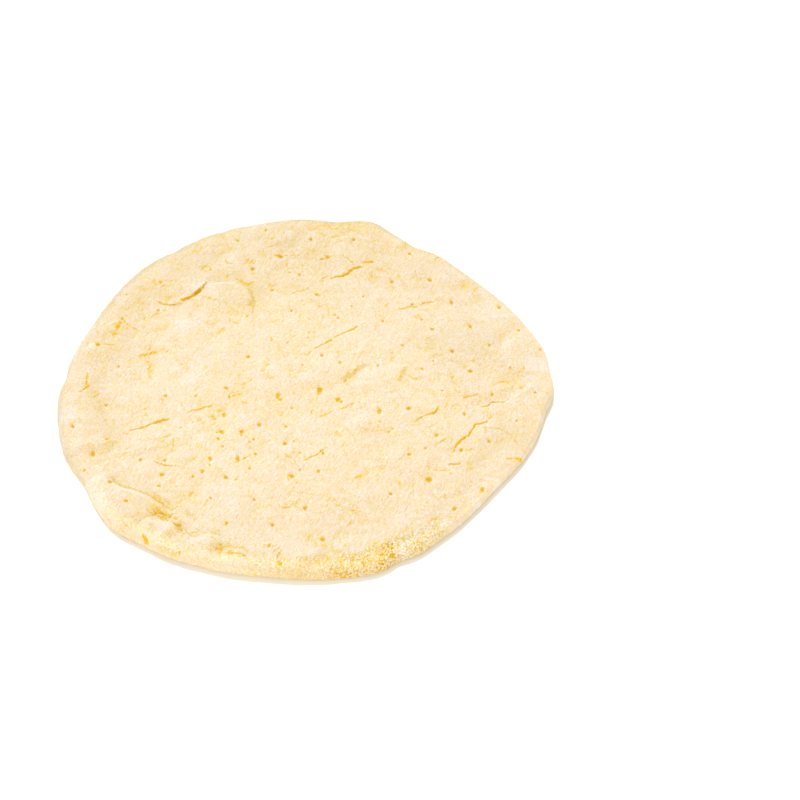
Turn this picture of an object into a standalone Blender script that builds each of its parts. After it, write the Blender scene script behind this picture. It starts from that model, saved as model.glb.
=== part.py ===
"""A par-baked round pizza base: one flat disc of pale docked dough, lying on its underside.

Plan positions and heights are in millimetres and become metres where a point is placed.
+X is the base's right, +Y its far side and +Z up. Directions round the edge are in degrees
from +X towards +Y. The origin is the middle of the footprint, on the surface below the base.
"""

import math

import bmesh
import bpy
from mathutils import Vector, noise

# Overall sizes
MM = 0.001
RADIUS = 129.0
FIELD_HEIGHT = 7.0
RIM_HEIGHT = 8.3
WIDEST_HEIGHT = 1.5
FOOT_INSET = 2.6
SHOULDER_WIDTH = 9.0
SHOULDER_FULLNESS = 2.4
RIM_FALL = 17.0

# Fineness of the top: cells across it, and how they crowd towards the edge
CELLS = 54
EDGE_CROWDING = 1.35

# Swells and dents of the edge: direction, height in mm, half width in degrees
EDGE_SWELLS = (
    (5, 6.9, 11),
    (43, -3.2, 8),
    (60, -2.8, 3.5),
    (75, 7.3, 4.5),
    (93, 5.2, 7),
    (114, 4.8, 8),
    (135, 2.9, 7),
    (161, -2.4, 10),
    (187, 1.7, 7),
    (200, 1.0, 5),
    (211, -1.5, 5),
    (225, 2.2, 5),
    (262, -4.8, 15),
    (288, 0.8, 5),
    (294, -1.3, 1.6),
    (320, -6.3, 16),
    (341, 1.2, 5),
)

# Puffed and pressed stretches of the rim: direction, height in mm, half width in degrees
RIM_SWELLS = (
    (182, 0.7, 20),
    (222, 0.9, 13),
    (252, 0.5, 10),
    (290, 0.5, 16),
    (345, -1.0, 20),
    (40, -0.9, 22),
    (100, -0.3, 24),
    (143, 0.4, 13),
)

# Blisters and hollows of the top: place, radius and height
BLISTERS = (
    (-45, 66, 18, 1.3),
    (-80, 76, 19, 1.2),
    (14, 10, 15, 0.8),
    (46, 5, 14, 0.7),
    (-66, 44, 18, 0.6),
    (104, 47, 16, 0.8),
    (111, -29, 16, 0.9),
    (84, -62, 15, 0.6),
    (-86, -12, 16, 0.6),
    (-74, -40, 14, 0.7),
    (24, 98, 16, 0.5),
    (-20, 108, 18, 0.5),
    (-66, -88, 9, -1.9),
    (-101, -30, 13, -1.1),
    (-83, 12, 12, -0.6),
    (-28, -30, 34, -0.5),
    (-32, -112, 8, -0.8),
)

# Soft unevenness of the dough: size of a swell, height and the place it is read at
SWELL_SIZE = 27.0
SWELL_HEIGHT = 0.75
BUBBLE_SIZE = 10.0
BUBBLE_HEIGHT = 0.5
NOISE_PLACE = Vector((3.7, 11.2, 5.1))

# Pin holes of the docker: rows of pins run in one direction, a pitch apart
PIN_DIRECTION = -58.0
PIN_PITCH = 20.5
PIN_WIDTH = 2.0
PIN_DEPTH = 3.0
PIN_SIDES = 7

# Each row: its distance from the centre, its first pin along the row, its open pins
PIN_ROWS = (
    (122, 8, 3),
    (102, -53, 7),
    (82, -81.5, 9),
    (62, -96.5, 10),
    (42, -115, 7),
    (42, 70, 3),
    (22, -113, 6),
    (22, 35, 5),
    (1, -83, 3),
    (-41, 54, 3),
    (-61, 35.5, 3),
    (-78, -84.5, 2),
    (-78, 42, 2),
    (-95, -42.5, 1),
    (-93, 1, 2),
    (-115, -38, 5),
)

# Burst bubbles of the open crumb: place and width
OPEN_PITS = (
    (10, -5, 3.2),
    (21, -12, 3.2),
    (-12, -8, 2.8),
    (-40, -3, 2.0),
    (-56, -9, 1.7),
    (-72, -8, 1.7),
    (-40, -21, 2.2),
    (-40, -34, 2.6),
    (-30, -34, 2.6),
    (-21, -28, 2.5),
    (-23, -39, 2.0),
    (-7, -42, 2.5),
    (-31, -52, 2.3),
    (-45, -52, 2.0),
    (-49, -60, 1.9),
    (-68, -53, 2.0),
    (13, -49, 1.6),
    (11, -61, 1.6),
)

# Cracks and tears of the skin: half width, depth and the points they run through
CRACKS = (
    (1.5, 2.6, ((-86, 65), (-80, 61), (-73, 60.5), (-66, 64), (-60, 70), (-56, 78))),
    (0.7, 1.0, ((-55, 78.5), (-45, 80), (-35, 75), (-28, 65), (-27, 58))),
    (1.1, 1.8, ((-5, 70), (0, 74), (8, 79.5), (15, 82), (20, 84), (26, 90), (34, 93))),
    (1.1, 1.8, ((-98, -39), (-90, -34), (-80, -29), (-74, -25), (-69, -25))),
    (0.7, 1.0, ((-60, -20), (-54, -18), (-48, -15))),
    (0.6, 0.9, ((0, 20), (10, 29), (20, 35), (27, 40), (34, 45))),
    (0.8, 1.2, ((-75, -54), (-70, -56), (-62, -57))),
    (0.9, 1.4, ((80, -50), (84, -42), (90, -35), (92, -29), (98, -27), (104, -21))),
    (0.9, 1.3, ((93, -17), (98, -17), (101, -14), (108, -14), (111, -10))),
    (0.7, 1.1, ((60, -27), (66, -23), (72, -20), (74, -16))),
    (0.9, 1.4, ((103, -52), (108, -50.5), (113, -49.5))),
    (0.9, 1.4, ((-35, -112), (-29, -113), (-22, -115))),
    (1.2, 1.8, ((-95, -67), (-90, -71), (-82, -73), (-76, -76), (-70, -80), (-62, -86))),
    (0.9, 1.3, ((-115, 10), (-115, 1), (-117, -4))),
    (0.8, 1.2, ((-104, 35), (-102, 42), (-100, 49))),
    (0.9, 1.2, ((58, 60), (62, 61), (66, 62.5))),
)
CRACK_END = 0.25
CUTTER_RISE = 0.3

# Look of the dough in the source: base colour, roughness and metallic
DOUGH_COLOUR = (0.94, 0.76, 0.49, 1.0)
DOUGH_ROUGHNESS = 0.85
DOUGH_METALLIC = 0.0


def clear_scene():
    for old in list(bpy.data.objects):
        bpy.data.objects.remove(old, do_unlink=True)


def new_collection(name):
    collection = bpy.data.collections.new(name)
    bpy.context.scene.collection.children.link(collection)
    return collection


def swell_sum(swells, direction):
    """The sum of the swells at a direction in degrees, each a smooth hump round its own."""
    total = 0.0
    for middle, height, half_width in swells:
        away = (direction - middle + 180.0) % 360.0 - 180.0
        total += height * math.exp(-0.5 * (away / half_width) ** 2)
    return total


def edge_radius(direction):
    return RADIUS + swell_sum(EDGE_SWELLS, direction)


def footprint_centre():
    """The middle of the outline's box, which becomes the origin."""
    edge = []
    for step in range(720):
        direction = step / 2
        angle = math.radians(direction)
        radius = edge_radius(direction)
        edge.append((radius * math.cos(angle), radius * math.sin(angle)))
    xs = [point[0] for point in edge]
    ys = [point[1] for point in edge]
    return (min(xs) + max(xs)) / 2, (min(ys) + max(ys)) / 2


CENTRE_X, CENTRE_Y = footprint_centre()


def placed(x, y, z):
    """A plan position and height in millimetres as a point of the part, in metres."""
    return Vector((x - CENTRE_X, y - CENTRE_Y, z)) * MM


def smooth_step(t):
    t = min(max(t, 0.0), 1.0)
    return t * t * (3.0 - 2.0 * t)


def top_height(x, y):
    """Height of the top at a plan position: a rounded shoulder, a puffed rim, a lower field."""
    direction = math.degrees(math.atan2(y, x))
    inset = max(edge_radius(direction) - math.hypot(x, y), 0.0)
    rim = RIM_HEIGHT + swell_sum(RIM_SWELLS, direction)
    level = rim + (FIELD_HEIGHT - rim) * smooth_step((inset - SHOULDER_WIDTH) / RIM_FALL)
    place = Vector((x, y, 0.0))
    level += SWELL_HEIGHT * noise.noise(place / SWELL_SIZE + NOISE_PLACE)
    level += BUBBLE_HEIGHT * noise.noise(place / BUBBLE_SIZE + NOISE_PLACE)
    for blister_x, blister_y, radius, height in BLISTERS:
        away = math.hypot(x - blister_x, y - blister_y) / radius
        level += height * max(1.0 - away * away, 0.0) ** 2
    shoulder = 1.0 - min(inset / SHOULDER_WIDTH, 1.0)
    fullness = (1.0 - shoulder**SHOULDER_FULLNESS) ** (1.0 / SHOULDER_FULLNESS)
    return WIDEST_HEIGHT + (level - WIDEST_HEIGHT) * fullness


def disc_place(u, v):
    """The plan position of a square sheet's point, -1 to 1 each way, once it is round."""
    ring = max(abs(u), abs(v))
    if ring == 0.0:
        return 0.0, 0.0
    turn = v / u if abs(u) > abs(v) else 2.0 - u / v
    angle = turn * math.pi / 4
    if (u < 0 and abs(u) > abs(v)) or (v < 0 and abs(u) <= abs(v)):
        angle += math.pi
    radius = edge_radius(math.degrees(angle)) * (1.0 - (1.0 - ring) ** EDGE_CROWDING)
    return radius * math.cos(angle), radius * math.sin(angle)


def foot_place(point):
    """The foot below a point of the widest line: drawn in and down to the ground."""
    x = point.x / MM + CENTRE_X
    y = point.y / MM + CENTRE_Y
    keep = 1.0 - FOOT_INSET / math.hypot(x, y)
    return placed(x * keep, y * keep, 0.0)


def make_base(collection, dough):
    """The disc: a square sheet of cells made round and raised, closed by its foot below."""
    bm = bmesh.new()
    bmesh.ops.create_grid(bm, x_segments=CELLS, y_segments=CELLS, size=1.0)
    for vert in bm.verts:
        x, y = disc_place(vert.co.x, vert.co.y)
        vert.co = placed(x, y, top_height(x, y))
    rim = [edge for edge in bm.edges if edge.is_boundary]
    lowered = bmesh.ops.extrude_edge_only(bm, edges=rim)["geom"]
    foot = [item for item in lowered if isinstance(item, bmesh.types.BMVert)]
    for vert in foot:
        vert.co = foot_place(vert.co)
    bmesh.ops.holes_fill(bm, edges=[edge for edge in bm.edges if edge.is_boundary])
    bmesh.ops.recalc_face_normals(bm, faces=bm.faces)
    mesh = bpy.data.meshes.new("pizza_base")
    bm.to_mesh(mesh)
    bm.free()
    mesh.shade_smooth()
    mesh.materials.append(dough)
    base = bpy.data.objects.new("pizza_base", mesh)
    collection.objects.link(base)
    return base


def pin_places():
    """Plan positions of the docker's open pin holes, row by row."""
    angle = math.radians(PIN_DIRECTION)
    along = (math.cos(angle), math.sin(angle))
    across = (-along[1], along[0])
    places = []
    for distance, first, pins in PIN_ROWS:
        for pin in range(pins):
            run = first + pin * PIN_PITCH
            x = distance * across[0] + run * along[0]
            y = distance * across[1] + run * along[1]
            places.append((x, y))
    return places


def add_pit(bm, x, y, width, depth):
    """One tapering pit, standing a little out of the top so that it cuts cleanly."""
    top = top_height(x, y)
    middle = top + CUTTER_RISE - (depth + CUTTER_RISE) / 2
    made = bmesh.ops.create_cone(
        bm,
        cap_ends=True,
        segments=PIN_SIDES,
        radius1=width * 0.22 * MM,
        radius2=width * 0.54 * MM,
        depth=(depth + CUTTER_RISE) * MM,
    )
    bmesh.ops.translate(bm, vec=placed(x, y, middle), verts=made["verts"])


def hide_cutter(cutter, collection):
    collection.objects.link(cutter)
    cutter.hide_render = True
    cutter.display_type = "WIRE"
    return cutter


def make_pit_cutter(collection):
    bm = bmesh.new()
    for x, y in pin_places():
        add_pit(bm, x, y, PIN_WIDTH, PIN_DEPTH)
    for x, y, width in OPEN_PITS:
        add_pit(bm, x, y, width, PIN_DEPTH * 0.8)
    mesh = bpy.data.meshes.new("pits")
    bm.to_mesh(mesh)
    bm.free()
    return hide_cutter(bpy.data.objects.new("pits", mesh), collection)


def crack_curve():
    """The cracks as thin tubes that taper to their ends, half sunk along the top."""
    curve = bpy.data.curves.new("cracks", "CURVE")
    curve.dimensions = "3D"
    curve.twist_mode = "Z_UP"
    curve.bevel_depth = MM
    curve.bevel_resolution = 1
    curve.use_fill_caps = True
    for half_width, depth, points in CRACKS:
        spline = curve.splines.new("POLY")
        spline.points.add(len(points) - 1)
        last = len(points) - 1
        for index, (x, y) in enumerate(points):
            middle = math.sin(math.pi * index / last)
            size = half_width * max(middle, CRACK_END)
            sunk = max(depth * max(middle, CRACK_END) - size, 0.0)
            centre = placed(x, y, top_height(x, y) - sunk + CUTTER_RISE)
            spline.points[index].co = (*centre, 1.0)
            spline.points[index].radius = size + CUTTER_RISE
    return curve


def make_crack_cutter(collection):
    guide = bpy.data.objects.new("crack_guide", crack_curve())
    collection.objects.link(guide)
    graph = bpy.context.evaluated_depsgraph_get()
    mesh = bpy.data.meshes.new_from_object(guide.evaluated_get(graph))
    bpy.data.objects.remove(guide, do_unlink=True)
    bm = bmesh.new()
    bm.from_mesh(mesh)
    bmesh.ops.remove_doubles(bm, verts=bm.verts, dist=0.01 * MM)
    bmesh.ops.recalc_face_normals(bm, faces=bm.faces)
    bm.to_mesh(mesh)
    bm.free()
    return hide_cutter(bpy.data.objects.new("cracks", mesh), collection)


def cut(base, cutter):
    modifier = base.modifiers.new("cut " + cutter.name, "BOOLEAN")
    modifier.operation = "DIFFERENCE"
    modifier.solver = "EXACT"
    modifier.object = cutter


def dough_material():
    material = bpy.data.materials.new("par-baked dough")
    material.use_nodes = True
    shader = material.node_tree.nodes["Principled BSDF"]
    shader.inputs["Base Color"].default_value = DOUGH_COLOUR
    shader.inputs["Roughness"].default_value = DOUGH_ROUGHNESS
    shader.inputs["Metallic"].default_value = DOUGH_METALLIC
    return material


def main():
    clear_scene()
    parts = new_collection("Pizza base")
    cutters = new_collection("Cutters")
    base = make_base(parts, dough_material())
    cut(base, make_pit_cutter(cutters))
    cut(base, make_crack_cutter(cutters))


main()
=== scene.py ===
# %% [markdown]
# A par-baked pizza base is a thin round of pale dough: floury, docked with rows of pin holes,
# a little puffed at its rim, and cracked where its skin dried before the crumb stopped rising.
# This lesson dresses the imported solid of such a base. The solid stays as the frame, and one
# finely modelled piece takes its place in the picture.

# %% Load the frame
import math

import bpy
import numpy as np
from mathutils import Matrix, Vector, noise


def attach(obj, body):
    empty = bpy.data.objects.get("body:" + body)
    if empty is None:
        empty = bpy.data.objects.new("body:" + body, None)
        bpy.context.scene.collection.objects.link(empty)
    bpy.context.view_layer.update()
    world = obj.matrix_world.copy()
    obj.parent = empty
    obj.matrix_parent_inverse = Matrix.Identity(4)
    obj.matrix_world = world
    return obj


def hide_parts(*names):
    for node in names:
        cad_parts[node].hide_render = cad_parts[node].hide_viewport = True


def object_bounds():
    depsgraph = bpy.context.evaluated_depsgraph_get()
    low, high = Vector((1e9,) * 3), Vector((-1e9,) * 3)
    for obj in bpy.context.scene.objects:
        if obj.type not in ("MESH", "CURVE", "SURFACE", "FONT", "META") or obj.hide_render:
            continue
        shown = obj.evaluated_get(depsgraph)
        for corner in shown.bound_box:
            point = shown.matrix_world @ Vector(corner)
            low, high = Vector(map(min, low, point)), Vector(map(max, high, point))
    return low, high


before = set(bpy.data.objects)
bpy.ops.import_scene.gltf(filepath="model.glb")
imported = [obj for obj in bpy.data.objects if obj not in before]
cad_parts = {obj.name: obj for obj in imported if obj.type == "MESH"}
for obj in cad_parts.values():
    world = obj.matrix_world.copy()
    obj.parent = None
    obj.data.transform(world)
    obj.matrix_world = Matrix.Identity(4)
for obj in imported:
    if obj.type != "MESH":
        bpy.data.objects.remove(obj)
cad_low, cad_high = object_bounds()
print("packed nodes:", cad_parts)
print("packed box in mm:", [round(side * 1000, 1) for side in cad_high - cad_low])

# %% [markdown]
# All the shaping below is written in millimetres in the plan of the base, as a baker would
# measure it, and is turned to metres once, when the finished points go into the mesh.
# The sizes are the ones the solid was built from, so that the piece lies where the solid is.

# %% Overall sizes
MM = 0.001
RADIUS = 129.0
FIELD_HEIGHT = 7.0
RIM_HEIGHT = 8.3
WIDEST_HEIGHT = 1.5
SHOULDER_WIDTH = 9.0
SHOULDER_FULLNESS = 2.4
RIM_FALL = 17.0

# %% [markdown]
# The outline is a circle that hand stretching has pushed out here and pulled in there. Each
# push is one smooth hump: its direction in degrees, its height in mm and its half width in
# degrees. A circle with a list of humps keeps the edge soft and lets one number move one
# swell, which a traced outline would not. The notches are narrow humps that the solid lacks.

# %% Outline
EDGE_SWELLS = (
    (5, 6.9, 11), (43, -3.2, 8), (60, -2.8, 3.5), (75, 7.3, 4.5), (93, 5.2, 7),
    (114, 4.8, 8), (135, 2.9, 7), (161, -2.4, 10), (187, 1.7, 7), (200, 1.0, 5),
    (211, -1.5, 5), (225, 2.2, 5), (262, -4.8, 15), (288, 0.8, 5), (294, -1.3, 1.6),
    (320, -6.3, 16), (341, 1.2, 5),
)
EDGE_NOTCHES = (
    (5.5, -0.5, 1.6), (112.5, -0.7, 1.4), (126.6, -0.8, 1.5), (171, 0.5, 3.0),
    (177.5, -1.2, 2.0), (352.5, -0.5, 2.0), (358, 0.9, 2.5),
)
EDGE_WOBBLES = ((17.0, 0.5), (6.0, 0.22))


def noise_at(x, y, size, place):
    """Smooth noise from -1 to 1 at plan positions, with humps of about this size in mm."""
    columns = zip((x / size + place[0]).tolist(), (y / size + place[1]).tolist())
    return np.array([noise.noise((u, v, place[2])) for u, v in columns])


def swell_sum(swells, direction):
    """Sum of smooth humps round the edge, at directions in degrees."""
    total = np.zeros(len(direction))
    for middle, height, half_width in swells:
        away = (direction - middle + 180.0) % 360.0 - 180.0
        total += height * np.exp(-0.5 * (away / half_width) ** 2)
    return total


def edge_radius(direction):
    """Distance from the middle to the edge in mm, for directions in degrees."""
    angle = np.radians(direction)
    edge_x = RADIUS * np.cos(angle)
    edge_y = RADIUS * np.sin(angle)
    radius = RADIUS + swell_sum(EDGE_SWELLS + EDGE_NOTCHES, direction)
    for size, height in EDGE_WOBBLES:
        radius += height * noise_at(edge_x, edge_y, size, (7.3, 2.9, 4.1))
    return radius


around = np.arange(0.0, 360.0, 0.5)
plain_edge = RADIUS + swell_sum(EDGE_SWELLS, around)
edge_x = plain_edge * np.cos(np.radians(around))
edge_y = plain_edge * np.sin(np.radians(around))
CENTRE_X = (edge_x.min() + edge_x.max()) / 2
CENTRE_Y = (edge_y.min() + edge_y.max()) / 2
print("middle of the outline in mm:", round(CENTRE_X, 2), round(CENTRE_Y, 2))

# %% [markdown]
# The camera stands where the photographer's did: a little under a metre away, looking down
# at half a right angle. A long lens keeps the round from looking like an egg. The distance,
# height and lens go together, so they are fixed first and everything is judged through them.

# %% Camera
CAMERA_ELEVATION = math.radians(48.06)
CAMERA_ROLL = math.radians(-0.27)
CAMERA_DISTANCE = 0.90
CAMERA_TARGET = Vector((52.8 - CENTRE_X, -5.8 - CENTRE_Y, 0.0)) * MM
CAMERA_LENS = 75.4

camera_data = bpy.data.cameras.new("camera")
camera_data.sensor_width = 36.0
camera_data.lens = CAMERA_LENS
camera_data.clip_start = 0.01
camera = bpy.data.objects.new("camera", camera_data)
bpy.context.scene.collection.objects.link(camera)
towards_camera = Vector((0, -math.cos(CAMERA_ELEVATION), math.sin(CAMERA_ELEVATION)))
camera.location = CAMERA_TARGET + towards_camera * CAMERA_DISTANCE
camera.rotation_mode = "ZYX"
camera.rotation_euler = (math.pi / 2 - CAMERA_ELEVATION, 0.0, CAMERA_ROLL)
bpy.context.scene.camera = camera
print("camera at", tuple(round(c, 3) for c in camera.location))

# %% [markdown]
# The picture is a bright one on white. A white sky lights everything, two low and very wide
# suns from the left and the front open the shadows, and one hard sun, high up behind, draws
# the relief and throws a short shadow to the front. Each sun is written as its heading,
# elevation and angle in degrees, and its strength: the wider the angle, the softer the
# shadow. The Standard view keeps whites white, where the default view would grey them.

# %% Light and floor
SKY_STRENGTH = 0.68
SUNS = (
    ("key sun", 105.0, 56.0, 4.0, 2.15),
    ("left fill", 212.0, 28.0, 60.0, 0.8),
    ("front fill", 300.0, 16.0, 70.0, 0.6),
)
FLOOR_COLOUR = (0.94, 0.89, 0.79, 1.0)
FLOOR_GLOW = 0.08


def set_inputs(node, values):
    """Gives inputs of a shader node their values, by name."""
    for name, value in values.items():
        node.inputs[name].default_value = value


bpy.context.scene.view_settings.view_transform = "Standard"
world = bpy.data.worlds.new("white studio")
world.use_nodes = True
sky = world.node_tree.nodes["Background"]
set_inputs(sky, {"Color": (1.0, 1.0, 1.0, 1.0), "Strength": SKY_STRENGTH})
bpy.context.scene.world = world

for name, heading, elevation, angle, strength in SUNS:
    sun_data = bpy.data.lights.new(name, "SUN")
    sun_data.angle = math.radians(angle)
    sun_data.energy = strength
    sun = bpy.data.objects.new(name, sun_data)
    bpy.context.scene.collection.objects.link(sun)
    sun.rotation_euler = (math.radians(90 - elevation), 0.0, math.radians(heading + 90))

bpy.ops.object.select_all(action="DESELECT")
bpy.ops.mesh.primitive_plane_add(size=8.0, location=(0.0, 0.0, cad_low.z))
floor = bpy.context.object
floor.name = "floor"
floor_material = bpy.data.materials.new("white paper")
floor_material.use_nodes = True
paper = {
    "Base Color": FLOOR_COLOUR,
    "Roughness": 0.9,
    "Specular IOR Level": 0.0,
    "Emission Color": FLOOR_COLOUR,
    "Emission Strength": FLOOR_GLOW,
}
set_inputs(floor_material.node_tree.nodes["Principled BSDF"], paper)
floor.data.materials.append(floor_material)
print("lights:", [name for name, *_ in SUNS])

# %% [markdown]
# The docker is a roller with blunt pins. Its holes lie in straight rows about a pitch apart,
# but the dough shrinks unevenly behind it and many holes heal while baking. So the holes
# that stayed open are listed one by one, row by row: x, y and width, in millimetres. Burst
# bubbles of the open crumb follow no row and come after them.

# %% Pin holes and burst bubbles
PIN_HOLES = (
    (108.5, 57, 2.1), (118.5, 39, 1.7), (129.5, 24.5, 1.5),
    (59, 101, 1.9), (70, 79.5, 2.1), (82, 61, 2.1), (71, 40, 2.0), (94.5, -73, 2.0),
    (92, 42.5, 1.8), (81.5, 23.5, 1.9), (91, 8.5, 2.2),
    (102, 28, 1.5), (112.5, 11, 1.3), (102, -8.5, 1.6), (125, -7.5, 1.5), (114, -27.5, 1.2),
    (48.5, 78.5, 1.5), (60, 59.5, 1.9), (65, 47.5, 1.2), (54.5, 27.5, 1.4), (71, 16.5, 1.1),
    (93, 16.5, 1.1), (65, 10.5, 1.3), (75.5, -5.5, 1.2), (87, -22, 1.7), (99, -41, 1.6),
    (26.5, 113.5, 2.0), (37, 94.5, 1.6), (32.5, 66, 1.3), (43.5, 47, 1.5), (41, 12.5, 1.3),
    (57.5, -18.5, 2.5), (72, -37, 2.1), (84.5, -47, 1.8), (1.5, 113.7, 2.2), (11.5, 99, 1.9),
    (18.5, 49.5, 1.5), (17, 52, 1.1), (10.5, 20.5, 1.6), (20.5, 15, 1.6), (42, -20, 2.5),
    (47, -34, 1.2), (57.5, -50, 1.7), (67.5, -66.5, 3.3), (80, -85.5, 2.2), (-25, 121.5, 1.6),
    (-15.5, 99, 2.9), (-4, 84, 1.6), (6.5, 68, 2.1), (-7.5, 55.5, 1.3), (3, 38, 1.1),
    (-41, 113, 1.4), (-31, 88.6, 2.4), (-19, 72, 1.5), (-32, 51.5, 1.7), (-29.5, 20, 2.1),
    (-17.5, 32.5, 1.3), (-101, 48.5, 1.5), (-112, 27.8, 2.2), (-99.5, 13.3, 1.4),
    (-103, -14.8, 1.4), (-118, -32, 1.5), (-105.5, -50, 2.2), (-81, -52.5, 1.8),
    (-68.5, -53, 1.6), (-69, -62.5, 2.4), (-94.5, -69.5, 1.9), (-85, -82, 1.5), (-62, -31, 1.1),
    (-36, -64.5, 1.9), (-48.5, -60.5, 1.9), (-34, -94.5, 1.6), (-21, -79, 1.3), (-43, -78, 1.1),
    (-11, -95.5, 2.0), (5, -85, 1.8), (14.5, -104.5, 2.4), (-2.5, -64, 2.3), (11, -61, 1.5),
    (1.5, -60, 1.4), (13, -49, 1.6), (24.5, -125.5, 2.6),
)
BURST_BUBBLES = (
    (10, -4, 2.6), (9.8, -6, 2.3), (20, -11.5, 2.5), (21.5, -13, 2.0), (-12, -8.5, 2.4),
    (-11, -11, 1.9), (-40, -3, 1.8), (-38, -9, 1.6), (-40, -21.5, 2.2), (-21, -28.5, 2.3),
    (-40.5, -33.5, 2.4), (-43, -34, 1.1), (-30, -33.5, 2.2), (-30, -35.5, 1.4), (-42, -38.5, 1.4),
    (-39.5, -43.5, 1.2), (-23.5, -39, 1.3), (-25.5, -40.5, 1.1), (-7, -42, 2.4), (-22, -48.5, 1.4),
    (-45, -52, 2.0), (-31, -51.5, 2.1), (-30.5, -53, 1.6), (-45, -56.5, 1.2), (-24.5, -58.5, 1.2),
    (-56, -8.8, 1.4), (-72, -8.5, 1.6), (-53, -64, 1.3), (-70, -70, 1.4), (-31, -66, 1.1),
    (6, -20.5, 1.1), (-4.5, -17, 1.2), (-2.5, -40.5, 1.0), (-7, -30, 1.2), (-56, -98.5, 1.2),
    (-56, -112, 1.2), (-109, -60, 1.2), (-82, -17.5, 1.1), (-82, 56, 1.7), (26, 58.5, 1.0),
    (56.5, 112, 1.0), (66, -46, 1.1), (-10, 86, 1.2), (0, 13.5, 1.0), (48, -76, 1.7),
)
PIN_DEPTH = 0.34
BURST_DEPTH = 0.32
MOST_STRETCH = 1.7
PIT_TURNS = (math.radians(70), math.radians(160))

draw = np.random.default_rng(11)
pits = []
for holes, depth in ((PIN_HOLES, PIN_DEPTH), (BURST_BUBBLES, BURST_DEPTH)):
    for x, y, width in holes:
        turn = draw.uniform(*PIT_TURNS)
        stretch = draw.uniform(1.0, MOST_STRETCH)
        pits.append((x, y, width, depth * width, turn, stretch))
print(len(PIN_HOLES), "pin holes,", len(BURST_BUBBLES), "burst bubbles")

# %% [markdown]
# A blunt pin leaves a steep pit and drags the skin round it down a little. One lip gets a
# painted highlight, a paler colour, and the bottom is amber, partly painted shade. Colour
# depth is one number from 0, floury white, to 1, dark amber, and open dough stands at the
# plain depth.

# %% Press the holes in
PLAIN_DEPTH = 0.30
PIT_BOX = 6
PIT_DRAG = 0.12
LIP_PAINTED_HIGHLIGHT = 0.10
PIT_AMBER = 0.95


def bell(away, width):
    """A soft hump, 1 in the middle and nearly 0 two widths away."""
    return np.exp(-((away / width) ** 2))


def turned(x, y, heading):
    """How far points lie along a heading and across it."""
    lengthwise = x * math.cos(heading) + y * math.sin(heading)
    return lengthwise, y * math.cos(heading) - x * math.sin(heading)


def add_pits(x, y, height, depth):
    for pit_x, pit_y, width, deep, turn, stretch in pits:
        near = (np.abs(x - pit_x) < PIT_BOX) & (np.abs(y - pit_y) < PIT_BOX)
        off_x, off_y = x[near] - pit_x, y[near] - pit_y
        lengthwise, crosswise = turned(off_x, off_y, turn)
        away = np.hypot(lengthwise / stretch, crosswise) / (width / 2)
        hole = np.exp(-(away**3))
        height[near] -= deep * hole + PIT_DRAG * deep * bell(away, 2.2)
        # Painted highlight: the front right lip of each pit is painted paler.
        from_lip = np.hypot(off_x - 0.45 * width, off_y + 0.8 * width)
        depth[near] -= LIP_PAINTED_HIGHLIGHT * bell(from_lip, 0.6 * width)
        # The amber bottom of the pit is partly painted shade.
        bottom = PLAIN_DEPTH + PIT_AMBER * np.exp(-((1.05 * away) ** 3))
        depth[near] = np.maximum(depth[near], bottom)


print("deepest hole in mm:", round(max(deep for *_, deep, _, _ in pits), 2))
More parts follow.
